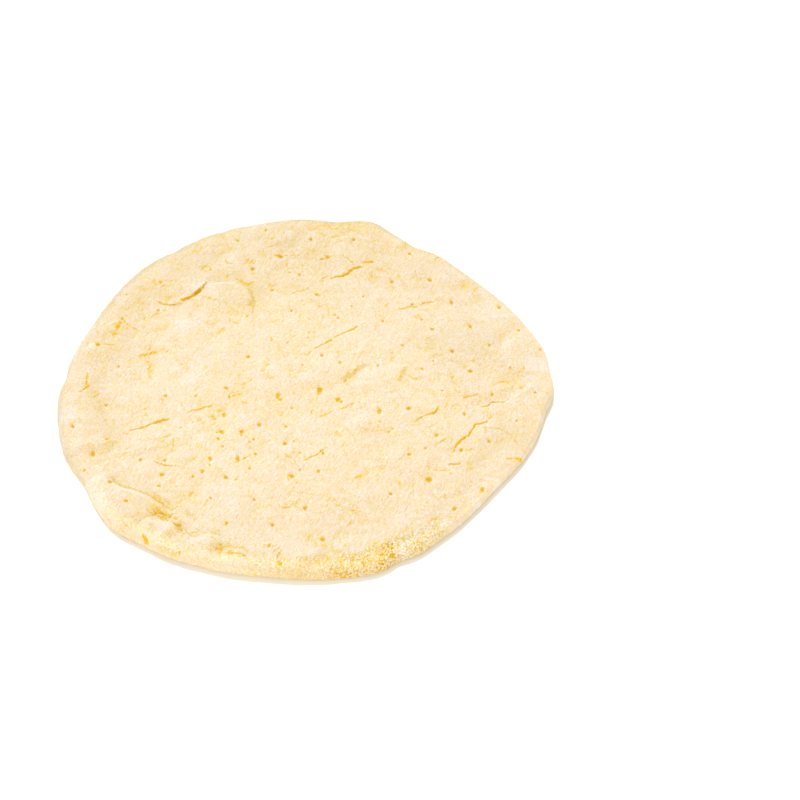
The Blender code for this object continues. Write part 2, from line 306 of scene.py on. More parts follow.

# %% [markdown]
# A crack opens where the dry skin tears over rising crumb, and a crease where it folds back.
# Either is widest in the middle, runs out to nothing and wanders a little, and often one of
# its sides laps over the other. Each is a short line of points with how wide and how deep it
# is in mm, how far its left side rises (its right side where negative), and how amber it is.
# The wide and shallow ones are smears: soft strokes of deeper colour.

# %% Cracks and creases
CRACKS = (
    (0.45, 0.5, 0.6, 0.6, ((-85, 65.5), (-82, 62.5), (-78, 60.5), (-73, 60), (-69, 62))),
    (0.95, 1.5, 1.2, 1.0, ((-71, 63.5), (-68, 64), (-65, 65.5), (-62, 68), (-58.5, 73))),
    (0.5, 0.6, 1.1, 0.8, ((-63, 67.5), (-60, 70.5), (-58, 74), (-56.5, 79))),
    (0.55, 0.2, -0.3, 0.42, (
        (-56, 75.5), (-49, 77), (-42, 76.5), (-36, 74), (-31, 68.5), (-29, 61),
    )),
    (0.6, 0.3, -0.2, 0.4, ((-28, 64), (-29, 58), (-29.5, 52))),
    (0.45, 0.3, 0.4, 0.45, ((-58, 67.5), (-55, 65), (-52, 63.5), (-48, 62.5))),
    (1.9, 0.6, -0.3, 0.80, ((-88, 79.5), (-84, 77), (-81, 75.5), (-79, 77))),
    (0.5, 0.3, -0.2, 0.45, ((-81, 78), (-74, 80), (-70, 83))),
    (2.4, 0.7, 0.0, 0.85, ((-62, 90.5), (-58, 89.5), (-54, 88))),
    (0.5, 0.4, 0.0, 0.6, ((-57, 94), (-56, 91), (-54, 87))),
    (0.5, 0.4, 0.0, 0.6, ((-47, 98), (-46, 94), (-42, 93))),
    (2.0, 0.6, 0.0, 0.8, ((-38, 96), (-35, 95), (-32, 94), (-29, 96))),
    (1.2, 0.5, -0.3, 0.75, ((-40, 81.5), (-36, 78), (-33, 76), (-29.5, 79))),
    (0.6, 0.3, 0.0, 0.5, ((-44, 84), (-41, 86))),
    (0.4, 0.4, 0.0, 0.6, ((-101, 50), (-99, 46), (-95, 42.5), (-90, 39.5))),
    (1.7, 0.6, 0.2, 0.55, ((-100, 49), (-102, 43), (-105, 34))),
    (0.7, 0.3, 0.0, 0.35, ((-101, 42), (-106, 44))),
    (0.5, 0.4, 0.0, 0.5, ((-110, 29.5), (-106, 28.5), (-101, 29))),
    (0.5, 0.6, 0.2, 0.85, ((-115, 9), (-115, 3), (-115, -2), (-116, -5), (-119, -8))),
    (0.9, 0.8, 0.3, 1.0, ((-115, 1), (-114.5, -2), (-116, -6))),
    (1.1, 0.6, 0.1, 0.9, ((-90, 21.5), (-86, 22), (-83, 23.5), (-79, 24))),
    (1.7, 0.5, 0.0, 0.58, ((-83, 33), (-83.5, 26), (-83.5, 18), (-82.5, 10), (-82, 3))),
    (0.5, 0.3, 0.0, 0.4, ((-76, 24), (-72, 25))),
    (1.3, 0.6, 0.0, 0.7, ((-51, 34.5), (-48, 37), (-46, 39), (-43, 42))),
    (0.5, 0.3, 0.0, 0.6, ((-41, 50), (-42, 46))),
    (0.5, 0.4, 0.0, 0.65, ((-40, 47.5), (-36, 44.5))),
    (0.5, 0.3, 0.0, 0.45, ((-37, 17), (-36, 14), (-38, 12))),
    (1.6, 0.7, 0.0, 0.6, ((-102, -38), (-98.5, -39), (-95, -38))),
    (0.5, 0.4, 0.0, 0.7, ((-93, -35), (-89, -34))),
    (0.5, 0.6, 0.3, 0.9, ((-90, -33), (-84, -31), (-79, -29), (-75, -26.5), (-71, -25.5))),
    (0.82, 1.0, 0.3, 1.0, ((-78, -28), (-74.5, -26.5), (-71, -25), (-68, -24.5))),
    (0.6, 0.5, 0.2, 0.75, ((-60, -20.5), (-55, -18.5), (-50, -16.5), (-45, -14))),
    (0.4, 0.2, 0.0, 0.3, ((-64, -12), (-62, -18), (-59, -20))),
    (0.5, 0.6, 0.2, 0.8, ((-76, -54), (-73, -53.5), (-68, -56.5), (-61, -57))),
    (0.4, 0.2, 0.0, 0.35, ((-76, -37), (-73, -39.5), (-69, -42.5))),
    (0.5, 0.2, 0.0, 0.3, ((-66, -35), (-65, -42), (-66, -50))),
    (0.5, 0.3, 0.0, 0.4, ((-77, -73.5), (-71, -77), (-66, -81), (-61, -86))),
    (0.4, 0.2, 0.0, 0.35, ((-74, -73), (-67, -78.5), (-60, -84))),
    (0.4, 0.2, 0.0, 0.3, ((-74, -82), (-69, -85), (-64, -88.5))),
    (0.35, 0.15, 0.0, 0.4, ((-105.5, -49), (-109, -44))),
    (0.35, 0.15, 0.0, 0.35, ((-105, -48.5), (-107.5, -43))),
    (2.2, 1.0, 0.0, 0.80, ((-72.5, -90), (-69, -89.5), (-65, -90.5), (-60, -92.5))),
    (1.0, 0.8, 0.0, 0.55, ((-71, -88), (-67.5, -87.5), (-64, -89))),
    (0.6, 0.5, 0.0, 0.85, ((-62, -94), (-59, -95.5), (-56, -95.5))),
    (0.35, 0.2, 0.0, 0.5, ((-71, -89), (-73.5, -87.5), (-75, -86))),
    (0.35, 0.2, 0.0, 0.6, ((-70, -88.5), (-71, -86), (-72, -84))),
    (0.35, 0.2, 0.0, 0.6, ((-68, -88.5), (-68, -86), (-67.5, -84))),
    (0.35, 0.2, 0.0, 0.5, ((-66, -89), (-64.5, -86.5), (-63, -85))),
    (0.35, 0.2, 0.0, 0.5, ((-64, -89.5), (-61.5, -88), (-59.5, -87.5))),
    (0.7, 0.5, 0.0, 0.9, ((-61.5, -90), (-60, -90.5), (-59, -91.5))),
    (0.6, 0.8, 0.0, 1.0, ((-75.5, -101), (-73.5, -103.5), (-72, -105.5))),
    (1.5, 0.5, 0.0, 0.35, ((-59, -99), (-56, -101), (-53, -103))),
    (2.0, 0.5, 0.0, 0.30, ((-85.5, -90), (-85, -94), (-84, -98))),
    (2.0, 0.4, 0.0, 0.30, ((-44, -103), (-38, -106), (-31, -110))),
    (0.5, 0.3, 0.0, 0.5, ((-58, -100), (-54, -101), (-47, -100))),
    (1.1, 0.4, 0.0, 0.22, ((-68, -107), (-62, -110.5), (-56, -113))),
    (0.7, 1.2, -0.7, 1.0, (
        (-34, -112.5), (-31, -114.5), (-27, -114), (-24, -115.5), (-21.5, -117),
    )),
    (2.6, 0.6, 0.0, 0.40, ((-38, -110), (-33, -112), (-28, -113))),
    (0.82, 1.4, 0.4, 1.0, ((13, 80.5), (17, 82.5), (21, 83), (25, 87), (28, 89.5), (34, 90))),
    (0.4, 0.4, 0.1, 0.6, ((7, 76), (9, 79), (10, 82), (14, 83))),
    (0.5, 0.4, 0.1, 0.55, ((-10, 67.5), (-4, 71), (0, 72), (3, 77))),
    (0.6, 0.4, 0.1, 0.8, ((31, 93), (35, 94.5), (39, 94.5))),
    (0.6, 0.4, 0.0, 0.45, ((16, 101), (22, 98), (26, 93.5), (28, 90))),
    (1.1, 0.6, 0.1, 0.9, ((6, 96.5), (10, 97.5), (14, 100.5))),
    (0.4, 0.3, 0.0, 0.6, ((-22, 99.5), (-14, 100), (-4, 100.5))),
    (1.1, 0.5, 0.0, 0.7, ((-22, 77.5), (-20, 75), (-19, 71))),
    (0.5, 0.3, 0.0, 0.55, ((-4, 62), (1, 64), (5, 63))),
    (0.5, 0.2, 0.0, 0.4, ((-19, 60.5), (-13, 58.5), (-9, 59), (-7.5, 55.5))),
    (0.6, 0.2, 0.0, 0.4, ((6, 57.5), (10, 60), (14, 61))),
    (0.6, 0.2, 0.0, 0.4, ((14, 63), (16, 67))),
    (0.5, 0.6, 0.25, 0.6, (
        (-2, 19), (4, 23), (8, 27.5), (14, 31.5), (19, 36), (27, 40.5), (34, 45),
    )),
    (0.7, 0.2, 0.1, 0.5, ((24, 39), (28, 41.5), (31, 44))),
    (0.5, 0.2, 0.0, 0.4, ((-9, 29), (-7, 34), (-3, 36.5))),
    (0.5, 0.2, 0.0, 0.35, ((-19, 37), (-17, 33), (-15, 29))),
    (0.5, 0.5, 0.1, 0.75, (
        (49, 55.5), (54, 56.5), (58, 57.5), (62, 58), (67, 61), (71, 61.5), (76, 65),
    )),
    (0.4, 0.2, 0.0, 0.45, ((47, 82), (48.5, 78.5))),
    (0.7, 0.3, 0.0, 0.5, ((63, 52), (65, 47.5))),
    (0.4, 0.3, 0.0, 0.6, ((89, 45.5), (92, 42.5))),
    (0.8, 0.4, 0.2, 0.3, ((112, 31), (115, 33.5), (118, 36.5))),
    (1.5, 0.5, 0.3, 0.5, ((96, 74), (94.5, 68), (93.5, 62))),
    (0.5, 0.4, 0.1, 0.6, ((80, -3.5), (83, -6), (85.5, -8.5))),
    (0.7, 0.4, 0.1, 0.65, ((86, -10.5), (90, -9.5), (95, -8))),
    (0.55, 0.8, 0.2, 0.95, ((94, -17), (99, -17.5), (101, -14), (108, -14), (111, -10.5))),
    (0.6, 0.5, -0.3, 0.5, ((111, -11), (114, -8), (118, -5.5), (122, -4))),
    (0.4, 0.3, 0.2, 0.3, ((95, -31), (101, -32.5), (107, -34), (112, -39), (113, -47))),
    (1.5, 0.4, 0.0, 0.22, ((21, 1), (24, 4.5), (28, 8), (32, 12))),
    (0.4, 0.3, 0.0, 0.5, ((20, -1), (24, 2), (27, 6))),
    (0.4, 0.3, 0.0, 0.5, ((25, 8), (29, 10), (33, 14))),
    (0.9, 0.4, 0.0, 0.30, ((52, 3), (54.5, 7), (55.5, 12))),
    (0.9, 0.3, 0.0, 0.30, ((69, 34), (72, 29), (73, 22), (71.5, 17))),
    (0.5, 0.2, 0.0, 0.35, ((60, 31), (62.5, 27.5), (65, 24))),
    (0.6, 0.3, 0.0, 0.5, ((67, -55), (67.5, -59), (66.5, -64))),
    (1.4, 0.4, 0.0, 0.35, ((69, -76), (71, -79.5))),
    (1.4, 0.4, 0.0, 0.35, ((74, -76), (76, -80))),
    (1.2, 0.4, 0.0, 0.35, ((22, -72), (25, -76))),
    (0.5, 0.4, -0.3, 0.5, ((126, -4.5), (130, -7.5), (134, -7))),
    (0.64, 1.0, 0.3, 1.0, ((79, -50), (84, -41), (90, -35), (92, -30), (98, -28), (103, -23))),
    (0.5, 0.5, 0.2, 0.8, ((59, -29), (63, -25.5), (67, -22.5), (71, -21.5), (74, -16))),
    (0.65, 0.7, 0.2, 0.85, ((68, -22.5), (71.5, -20.5), (73.5, -16.5))),
    (0.7, 0.7, 0.1, 0.95, ((77, -57.5), (79.5, -56.5), (82.5, -57), (84.5, -55.5))),
    (0.6, 0.9, -0.3, 0.95, ((106, -53), (110, -52), (115, -51.5), (119.5, -50))),
    (0.4, 0.2, 0.0, 0.4, ((109, -38), (112, -38.5), (115, -45.5))),
    (0.5, 0.25, 0.1, 0.3, ((73, -43), (78, -37))),
    (0.5, 0.25, 0.1, 0.3, ((77, -45), (81.5, -38))),
    (0.6, 0.3, 0.0, 0.5, ((70, -60), (75, -60.5), (79, -60.5))),
    (0.4, 0.3, 0.2, 0.4, ((22, -29.5), (26, -34), (29.5, -40), (28, -44), (25, -48))),
    (0.4, 0.2, 0.1, 0.35, ((31, -30), (35, -33.5), (39, -34.5), (47, -32))),
    (0.5, 0.5, 0.2, 0.65, ((2, -54.5), (9, -50.5), (12, -47.5), (15, -44))),
    (0.8, 0.4, 0.1, 0.5, ((10, -24), (14, -21.5), (18, -19))),
    (0.9, 0.4, 0.1, 0.6, ((20, -18.5), (24, -17), (29, -14))),
    (0.5, 0.3, 0.1, 0.4, ((-8, -49), (-3, -52), (1, -58))),
    (0.5, 0.3, 0.1, 0.35, ((-9, -55), (-4, -62), (-1, -67), (3, -71))),
    (0.5, 0.3, 0.0, 0.4, ((-1, -74), (3, -75), (8, -76), (12, -77.5))),
    (0.5, 0.3, 0.0, 0.5, ((19, -82), (24, -84.5))),
    (0.5, 0.3, 0.0, 0.5, ((26, -86), (31, -87), (34, -87.5))),
    (0.5, 0.3, 0.0, 0.6, ((-8, -84), (-5, -84), (-1, -83.5))),
    (0.6, 0.3, 0.0, 0.5, ((-26, -42), (-24, -47), (-27, -51.5), (-35, -56))),
    (1.3, 0.4, 0.0, 0.4, ((-15, -108.5), (-11, -109.5), (-8, -109))),
    (2.4, 1.4, 0.5, 0.30, ((-9, -109), (-7, -114), (-6, -119), (-5.5, -126))),
    (0.8, 0.9, 0.0, 1.0, ((-7, -118), (-6, -120), (-5, -122))),
)
CRACK_STEP = 2.0


def smooth_line(points):
    """Points about a step apart on a smooth curve through a crack's own points."""
    padded = np.array([points[0], *points, points[-1]], float)
    line = []
    for before, start, end, after in zip(padded, padded[1:], padded[2:], padded[3:]):
        steps = max(int(np.hypot(*(end - start)) / CRACK_STEP), 1)
        for t in np.arange(steps) / steps:
            bend = (end - before) * t + (2 * before - 5 * start + 4 * end - after) * t**2
            bend += (3 * start - before - 3 * end + after) * t**3
            line.append(start + bend / 2)
    line.append(padded[-1])
    return np.array(line)


def along_line(x, y, line):
    """Distance to a line, the side it is on and how far along, 0 to 1, for each point."""
    nearest = np.full(len(x), 1e9)
    side = np.ones(len(x))
    along = np.zeros(len(x))
    last = len(line) - 1
    for index, (start, end) in enumerate(zip(line, line[1:])):
        run = end - start
        t = ((x - start[0]) * run[0] + (y - start[1]) * run[1]) / (run @ run)
        t = np.clip(t, 0.0, 1.0)
        off_x = x - start[0] - t * run[0]
        off_y = y - start[1] - t * run[1]
        distance = np.hypot(off_x, off_y)
        closer = distance < nearest
        nearest[closer] = distance[closer]
        side[closer] = np.sign(run[0] * off_y - run[1] * off_x)[closer]
        along[closer] = ((index + t) / last)[closer]
    return nearest, side, along


def inside_reach(x, y, line, reach):
    """Which points lie in the box round a line, made wider by a reach in mm."""
    near = (x > line[:, 0].min() - reach) & (x < line[:, 0].max() + reach)
    return near & (y > line[:, 1].min() - reach) & (y < line[:, 1].max() + reach)


crack_lines = [smooth_line(points) for *_, points in CRACKS]
print(len(CRACKS), "cracks and creases of", sum(map(len, crack_lines)), "points")

# %% [markdown]
# A crack is amber where it gapes, its crumb deepened by painted shade, and pale where the skin
# healed over it, so noise breaks its line up, sways it and frays its edges. Smears break up
# into streaks along the way that the dough was drawn. Where a side laps over, the skin is
# lifted for a few millimetres.

# %% Press the cracks in
CRACK_SWAYS = (
    (2.6, 0.55, (3.1, 3.7, 1.9), (8.3, 1.1, 6.4)),
    (0.9, 0.25, (4.6, 2.2, 0.8), (1.4, 6.3, 5.2)),
)
BREAK_SIZE = 1.5
LEAST_OPEN = 0.3
STREAK_HEADING = math.radians(58)
STREAK_STRETCH = 3.0
SMEAR_WIDTH = 0.9
LAP_REACH = 4.5
LAP_BOX = 12.0
# The amber of a gaping crack is partly painted shade.
CRACK_AMBER = 1.4


def skin_streaks(x, y):
    lengthwise, crosswise = turned(x, y, STREAK_HEADING)
    streaks = noise_at(lengthwise / STREAK_STRETCH, crosswise, 1.0, (0.2, 3.9, 7.4))
    return np.clip(0.5 + 1.7 * streaks, 0.0, 1.0)


def add_cracks(x, y, height, depth):
    stray_x, stray_y = x, y
    for size, sway, place_x, place_y in CRACK_SWAYS:
        stray_x = stray_x + sway * noise_at(x, y, size, place_x)
        stray_y = stray_y + sway * noise_at(x, y, size, place_y)
    broken = 0.95 + 1.4 * noise_at(x, y, BREAK_SIZE, (5.5, 9.1, 0.4))
    broken = np.clip(broken, LEAST_OPEN, 1.0)
    ragged = 1.0 + 0.8 * noise_at(x, y, BREAK_SIZE, (2.7, 4.4, 6.6))
    streaks = skin_streaks(x, y)
    for (width, deep, lap, amber, _), line in zip(CRACKS, crack_lines):
        near = inside_reach(x, y, line, LAP_BOX)
        away, side, along = along_line(stray_x[near], stray_y[near], line)
        strength = np.clip(5.0 * along * (1.0 - along), 0.0, 1.0) ** 0.6
        reach = width * (0.4 + 0.6 * strength) * ragged[near]
        groove = bell(away, reach) * strength * broken[near] ** (1.6 - 1.2 * amber)
        streaked = min(max(1.4 * (width - SMEAR_WIDTH), 0.0), 0.9) * (amber < 0.95)
        groove *= 1.0 - streaked * (1.0 - streaks[near])
        raised = 0.5 + 0.5 * np.tanh(side * away / (0.7 * width))
        lift = np.exp(-away / LAP_REACH) * (raised if lap > 0 else 1.0 - raised) * strength
        height[near] += abs(lap) * lift - 0.5 * deep * groove
        core = groove ** (1.6 if width < 1.0 else 1.15)
        depth[near] = np.maximum(depth[near], PLAIN_DEPTH + CRACK_AMBER * amber * core)


print("widest smear in mm:", max(width for width, *_ in CRACKS))

# %% [markdown]
# Where the dough was folded back on itself or a big bubble lifted its skin, one side of a
# line stands a millimetre or two above the other. Such a fold is written like a crack: how
# far its left side rises (its right side where negative), how soft the step is, how far the
# raised skin reaches before it falls back, how amber the line is, and its points. Below the
# step the dough dips in a shallow valley. The amber line at the foot of the step, the
# yellower colour of the valley and its darker finish are painted shade.

# %% Folds and the edges of big bubbles
FOLDS = (
    (-0.8, 2.6, 14, 0.05, (
        (-117, -3), (-110, -12), (-106, -22), (-102, -31), (-98, -39), (-95, -46),
    )),
    (-1.7, 2.2, 12, 0.60, (
        (-98, -62), (-94.5, -68.5), (-90, -72), (-86, -73.5), (-80, -75.5), (-75, -78),
        (-70, -81.5), (-65, -85.5), (-61, -88),
    )),
    (-1.2, 2.7, 7, 0.30, (
        (-76, -102), (-76, -97), (-73.5, -93.5), (-69, -92), (-64, -94), (-60, -98),
        (-57, -102.5),
    )),
    (-1.2, 3.0, 8, 0.30, (
        (-62, -95), (-57, -100), (-52, -105), (-47, -105), (-42, -103), (-38, -104.5),
        (-34, -107.5),
    )),
    (-1.1, 1.5, 10, 0.30, (
        (-57, 75), (-50, 77), (-42, 77), (-36, 74), (-31.5, 69), (-29.5, 63), (-30, 58),
    )),
    (0.7, 3.0, 10, 0.08, ((119, 40), (113, 33), (110.5, 24), (112, 14), (117, 7), (125, 4.5))),
    (-0.6, 2.4, 12, 0.15, (
        (91, -19), (99, -16), (104, -14), (109, -13.5), (113, -9), (119, -5), (124, 0), (129, 6),
    )),
    (-0.6, 1.3, 6, 0.10, ((79, 10), (80, 2), (84, -4), (90, -9))),
    (0.6, 1.4, 7, 0.08, ((21, 1), (25, 5), (29, 9), (33, 13), (38, 15))),
    (0.5, 1.2, 6, 0.20, ((51, 1), (54, 6), (56, 13))),
    (0.5, 1.2, 7, 0.15, ((66, 36), (71, 32), (73, 25), (72, 17))),
)
# Painted shade in the valley and along the foot of the step: yellower and a little darker.
VALLEY_DIP = 0.35
VALLEY_SHADE_YELLOW = 0.09
VALLEY_SHADE = 0.015
FOOT_SHADE = 0.02

fold_lines = [smooth_line(points) for *_, points in FOLDS]


def smooth_step(t):
    t = np.clip(t, 0.0, 1.0)
    return t * t * (3.0 - 2.0 * t)


def add_folds(x, y, height, depth, painted_shading):
    stray = 0.5 * noise_at(x, y, 3.0, (2.4, 6.1, 8.0))
    broken = np.clip(0.8 + 1.2 * noise_at(x, y, 2.4, (7.7, 0.3, 5.2)), 0.25, 1.0)
    for (rise, soft, reach, amber, _), line in zip(FOLDS, fold_lines):
        near = inside_reach(x, y, line, 2.5 * reach)
        away, side, along = along_line(x[near] + stray[near], y[near] - stray[near], line)
        strength = smooth_step(7.0 * along * (1.0 - along))
        outward = np.sign(rise) * side * away
        lap = smooth_step(0.5 + 0.5 * outward / soft)
        lap *= np.exp(-np.maximum(outward - soft, 0.0) / reach)
        from_foot = outward + 0.9 * soft
        valley_width = np.where(from_foot < 0.0, 3.0 + 1.5 * soft, 1.3 * soft)
        valley = bell(from_foot, valley_width)
        foot = bell(from_foot, 0.3 + 0.12 * soft)
        height[near] += abs(rise) * strength * (lap - VALLEY_DIP * valley)
        depth[near] += strength * (amber * broken[near] * foot + VALLEY_SHADE_YELLOW * valley)
        painted_shading[near] -= strength * abs(rise) * (VALLEY_SHADE * valley + FOOT_SHADE * foot)


print(len(FOLDS), "folds")

# %% [markdown]
# Between the cracks the skin is never flat. Small gas bubbles lift it into hundreds of low
# caps, and round part of a cap the skin creases and shows amber. They are strewn by chance,
# from a fixed seed so that the base is the same each time, which no pattern can imitate.

# %% Low bubbles under the skin
BUBBLE_COUNT = 520
SMALLEST_BUBBLE = 1.9
BUBBLE_SPREAD = 5.5
BUBBLE_RISE = 0.075
CREASE_WIDTH = 0.55
CREASE_DIP = 0.12

bubbles = []
for _ in range(BUBBLE_COUNT):
    reach = (RADIUS - 6.0) * math.sqrt(draw.uniform())
    heading = draw.uniform(0.0, 2 * math.pi)
    radius = SMALLEST_BUBBLE + BUBBLE_SPREAD * draw.uniform() ** 2.2
    rise = BUBBLE_RISE * radius * draw.uniform(-0.5, 1.3)
    crease = max(draw.uniform(-0.35, 0.62), 0.0)
    crease_heading = draw.uniform(-math.pi, math.pi)
    crease_spread = draw.uniform(0.5, 1.1)
    place = (reach * math.cos(heading), reach * math.sin(heading))
    bubbles.append((*place, radius, rise, crease, crease_heading, crease_spread))


def add_bubbles(x, y, height, depth):
    for middle_x, middle_y, radius, rise, crease, heading, spread in bubbles:
        near = (np.abs(x - middle_x) < 1.3 * radius) & (np.abs(y - middle_y) < 1.3 * radius)
        off_x, off_y = x[near] - middle_x, y[near] - middle_y
        away = np.hypot(off_x, off_y)
        height[near] += rise * np.maximum(1.0 - (away / radius) ** 2, 0.0) ** 1.5
        if crease > 0.0:
            turn = (np.arctan2(off_y, off_x) - heading + math.pi) % (2 * math.pi) - math.pi
            arc = np.exp(-(((away - radius) / CREASE_WIDTH) ** 2) - (turn / spread) ** 2)
            height[near] -= CREASE_DIP * crease * arc
            depth[near] += crease * arc


print(len(bubbles), "bubbles from", SMALLEST_BUBBLE, "mm")

# %% [markdown]
# The height of the top is a sum of simple causes: a rounded shoulder at the edge, a rim that
# puffed, blisters, the soft unevenness of stretched dough and the puckers of its dry skin.
# Each cause can be tuned alone, which sculpting by hand can't. A blister is a place, a radius
# and a rise in mm, and each kind of noise has a size and a height in mm.

# %% Rim, field and blisters
RIM_SWELLS = (
    (182, 0.7, 20), (222, 0.2, 13), (252, 0.2, 10), (290, -0.1, 16), (335, -2.5, 22),
    (40, -0.9, 22), (95, -1.3, 34), (143, 0.4, 13),
)
SHOULDER_SWELLS = ((80, -4.5, 40), (160, -4.0, 30), (332, -6.0, 22), (286, 3.0, 9))
BLISTERS = (
    (-45, 66, 18, 1.3), (-80, 76, 19, 1.2), (14, 10, 15, 0.8), (46, 5, 14, 0.7),
    (-66, 44, 18, 0.6), (104, 47, 16, 0.8), (111, -29, 16, 0.9), (84, -62, 15, 0.6),
    (-86, -12, 16, 0.6), (-74, -40, 14, 0.7), (24, 98, 16, 0.5), (-20, 108, 18, 0.5),
    (-67, -90, 8, -1.2), (-83, 12, 12, -0.6), (-28, -30, 34, -0.5),
    (-32, -113, 7, -0.8), (-66, -101, 9, 0.6), (-56, -99, 6, -0.8), (-42, -110, 8, 0.4),
    (-86, -84, 10, 0.4), (-20, -121, 7, 0.5), (4, -118, 7, 0.5),
    (120, 24, 15, 0.8), (40, 5, 13, 0.6), (36, -28, 8, 0.5),
)
SWELL = (27.0, 0.75)
BUBBLE = (10.0, 0.42)
NOISE_PLACE = (3.7, 11.2, 5.1)
WARP = (9.0, 2.5)
PATCH_SIZE = 34.0
PUCKER = (7.0, 0.45)
CRUMPLE = (3.4, 0.20)
MEAN_RIDGE = 0.3


def spots_at(spots, x, y):
    """The amount of each spot, and how far off each point lies, in radii of the spot."""
    for middle_x, middle_y, radius, amount in spots:
        yield amount, np.hypot(x - middle_x, y - middle_y) / radius


def dough_noise(x, y):
    """Plan positions drawn about as by hand, and each kind of unevenness of the dough."""
    size, reach = WARP
    warp_x = x + reach * noise_at(x, y, size, (1.5, 8.2, 2.2))
    warp_y = y + reach * noise_at(x, y, size, (6.1, 0.7, 9.9))
    uneven = {
        "swell": noise_at(x, y, SWELL[0], NOISE_PLACE),
        "bubble": noise_at(x, y, BUBBLE[0], NOISE_PLACE),
        "patch": smooth_step(0.5 + 1.4 * noise_at(x, y, PATCH_SIZE, (2.2, 5.5, 8.8))),
        "pucker": np.abs(noise_at(warp_x, warp_y, PUCKER[0], (4.4, 1.3, 0.6))),
        "crumple": np.abs(noise_at(warp_x, warp_y, CRUMPLE[0], (9.4, 3.3, 7.6))),
    }
    return warp_x, warp_y, uneven


def grown_height(x, y, direction, inset, uneven):
    """Height before creases and holes, and how far down the shoulder, from 0 to 1."""
    rim = RIM_HEIGHT + swell_sum(RIM_SWELLS, direction)
    level = rim + (FIELD_HEIGHT - rim) * smooth_step((inset - SHOULDER_WIDTH) / RIM_FALL)
    level += SWELL[1] * uneven["swell"] + BUBBLE[1] * uneven["bubble"]
    for rise, away in spots_at(BLISTERS, x, y):
        level += rise * np.maximum(1.0 - away * away, 0.0) ** 2
    puckers = PUCKER[1] * (uneven["pucker"] - MEAN_RIDGE)
    crumples = CRUMPLE[1] * (uneven["crumple"] - MEAN_RIDGE)
    level += uneven["patch"] * (puckers + crumples)
    shoulder_width = SHOULDER_WIDTH + swell_sum(SHOULDER_SWELLS, direction)
    shoulder = 1.0 - np.minimum(inset / shoulder_width, 1.0)
    fullness = (1.0 - shoulder**SHOULDER_FULLNESS) ** (1.0 / SHOULDER_FULLNESS)
    return WIDEST_HEIGHT + (level - WIDEST_HEIGHT) * fullness, shoulder


print(len(BLISTERS), "blisters,", len(RIM_SWELLS), "swells of the rim")

# %% [markdown]
# Colour depth is summed in the same way. Flour lies in spots and on stretches of the rim and
# the side. Puckers and the side with the open crumb are yellower; at the front right, turned
# from the light, part of that yellow is painted shade. The back is painted yellower as shade,
# where the light falls off. A spot is a place, a radius and an amount of flour, and is drawn
# out of round by the noise. Round the edge the lists hold a direction, an amount and a half
# width, as the outline does.

# %% Flour and yellow stretches
FLOUR_SPOTS = (
    (-66, 50, 11, 1.0), (-60, 38, 9, 0.4), (-46, 70, 14, 0.6), (-52, 22, 12, 0.3),
    (-62, 6, 10, 0.3), (104, 50, 12, 0.8), (119, 22, 15, 0.6), (126, 6, 10, 0.5),
    (118, -15, 12, 0.5), (112, -35, 10, 0.8), (100, -52, 9, 0.4), (87, -70, 10, 0.7),
    (40, 6, 12, 0.45), (62, 9, 9, 0.25), (36, -28, 7, 0.5), (22, -45, 10, 0.3),
    (-18, -67, 9, 0.7), (10, -66, 12, 0.5), (30, 66, 20, 0.3), (-68, -101, 8, 0.7),
    (-61, -108, 5, 0.7), (-88, -83, 12, 0.7), (-80, -79, 6, 0.4), (-45, -108, 8, 0.4),
    (55, -111, 5, 0.9), (42, -112, 7, -0.5), (-84, -94, 6, -0.5), (124, -3, 8, 0.6),
    (0, -116, 7, 0.4), (12, 14, 8, 0.4), (-78, -20, 60, 0.12), (-62, -62, 50, 0.16),
    (-45, 0, 35, -0.14), (62, 50, 50, 0.12), (-112, -60, 10, 0.3), (-32, -120, 10, 0.4),
    (-110, 20, 9, 0.2), (-36, -25, 9, 0.3), (98, -60, 17, 0.35), (78, -80, 13, 0.35),
)
FLOUR_PALENESS = 0.34
# Deeper at the front right, partly as painted shade; the paler stretches of the side are flour.
SIDE_DEPTHS = ((294, 0.14, 11), (272, 0.08, 12), (225, -0.10, 22), (328, -0.16, 16))
PALE_RIM = ((182, 0.10, 20), (0, 0.06, 30), (328, 0.06, 14))
# Painted shade: yellower towards the back, where the light falls off.
BACK_SHADE_DEPTH = 0.07
BACK_STARTS = 40.0
BACK_SPREAD = 70.0
PALE_RIM_INSET = 13.0
PALE_RIM_FADE = 6.0
BUBBLE_PALENESS = 0.09
SWELL_PALENESS = 0.06


def grown_depth(y, direction, inset, shoulder, warp_x, warp_y, uneven):
    """Colour depth before creases and holes."""
    depth = PLAIN_DEPTH - BUBBLE_PALENESS * uneven["bubble"] - SWELL_PALENESS * uneven["swell"]
    puckers = 0.30 * np.exp(-uneven["pucker"] / 0.06)
    crumples = 0.18 * np.exp(-uneven["crumple"] / 0.08)
    depth += uneven["patch"] * (puckers + crumples - 0.05)
    depth += swell_sum(SIDE_DEPTHS, direction) * smooth_step(1.8 * shoulder)
    depth += BACK_SHADE_DEPTH * smooth_step((y - BACK_STARTS) / BACK_SPREAD)
    pale = smooth_step((PALE_RIM_INSET - inset) / PALE_RIM_FADE)
    depth -= swell_sum(PALE_RIM, direction) * pale
    for amount, away in spots_at(FLOUR_SPOTS, warp_x, warp_y):
        depth -= FLOUR_PALENESS * amount * np.maximum(1.0 - away * away, 0.0)
    return depth


print(len(FLOUR_SPOTS), "floury and yellow spots")

# %% [markdown]
# The front edge was never rolled smooth: there the crumb lies open, in patches. Last comes
# the painted shading, a share by which the finish is painted lighter or darker to stand in for
# light and shade. The front and right sides get painted light and the left side painted shade.
# The far edge, where the dough turns away, gets painted shade, darker and yellower, most of all
# in the thin line at its horizon, and the crest inside it painted light. Broad patches get
# painted light and shade, the back painted shade, and the outside is darker. Then each point
# has all its marks.

